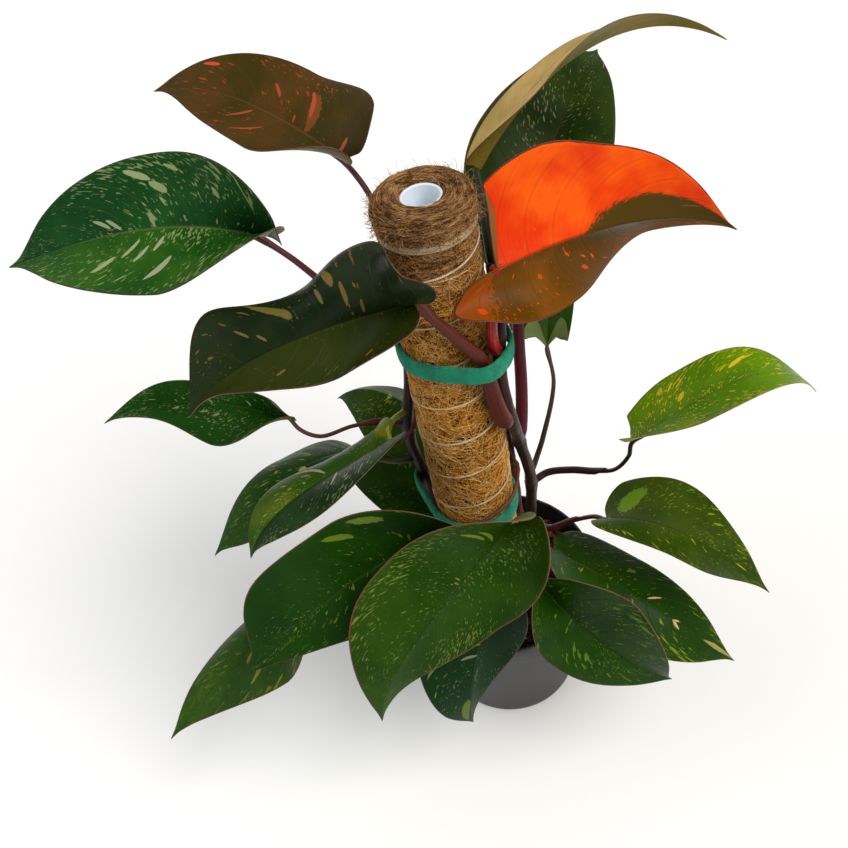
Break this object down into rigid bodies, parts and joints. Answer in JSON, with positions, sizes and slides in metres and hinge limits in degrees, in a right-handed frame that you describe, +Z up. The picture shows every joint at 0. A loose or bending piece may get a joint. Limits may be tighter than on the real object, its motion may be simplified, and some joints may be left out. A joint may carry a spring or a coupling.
{
  "type": "potted climbing philodendron",
  "caption": "Potted climbing philodendron: broad pointed leaves on long stalks round a coir pole, in a round tapered nursery pot.",
  "frame": {"origin": "centre of the pot's flat underside, where it stands on a surface", "axes": "+Z up along the pole, +X to the right and +Y away from someone who looks at the plant's front"},
  "size_m": [0.5185, 0.3365, 0.5505],
  "materials": {
    "pot": "satin black moulded plastic",
    "soil": "matte, loose, dark brown potting mix with bark",
    "pipe": "satin pale plastic",
    "coir": "coarse golden brown coconut fibre",
    "thread": "thin pale twine",
    "felt": "soft green felt",
    "stem": "satin brown-green stem",
    "stem_red": "satin dark red stem",
    "root": "matte brown aerial root",
    "bract": "satin dark red bract",
    "leaf_green": "waxy green with cream and lime flecks",
    "leaf_dark": "waxy near-black green with ochre flecks",
    "leaf_olive": "waxy olive brown with coral flecks",
    "leaf_orange": "waxy vivid orange and ochre brown",
    "leaf_lime": "waxy yellow-green with streaks"
  },
  "bodies": {
    "root": {"pot": "pot", "soil": "soil", "pole_pipe": "pipe", "coir_sleeve": "coir", "binding_thread": "thread", "tie_upper": "felt", "tie_lower": "felt", "stem_right": "stem", "stem_right_front": "stem_red", "stem_left": "stem", "stem_front": "stem", "root_lower": "root", "root_upper": "root", "bract_left": "bract", "leaf_back_left_top": "leaf_olive", "leaf_left_upper": "leaf_green", "leaf_front_left_dark": "leaf_dark", "leaf_young_orange": "leaf_orange", "leaf_top_folded": "leaf_lime", "leaf_back_right": "leaf_green", "leaf_left_lower": "leaf_green", "leaf_inner_left_upper": "leaf_green", "leaf_left_middle_back": "leaf_green", "leaf_left_middle_front": "leaf_lime", "leaf_inner_left_lower": "leaf_green", "leaf_low_left": "leaf_green", "leaf_low_centre": "leaf_green", "leaf_low_left_far": "leaf_green", "leaf_low_front": "leaf_dark", "leaf_low_right_front": "leaf_green", "leaf_low_right": "leaf_green", "leaf_right_lower": "leaf_green", "leaf_right_upper": "leaf_lime", "leaf_behind_right": "leaf_green"}
  },
  "joints": []
}
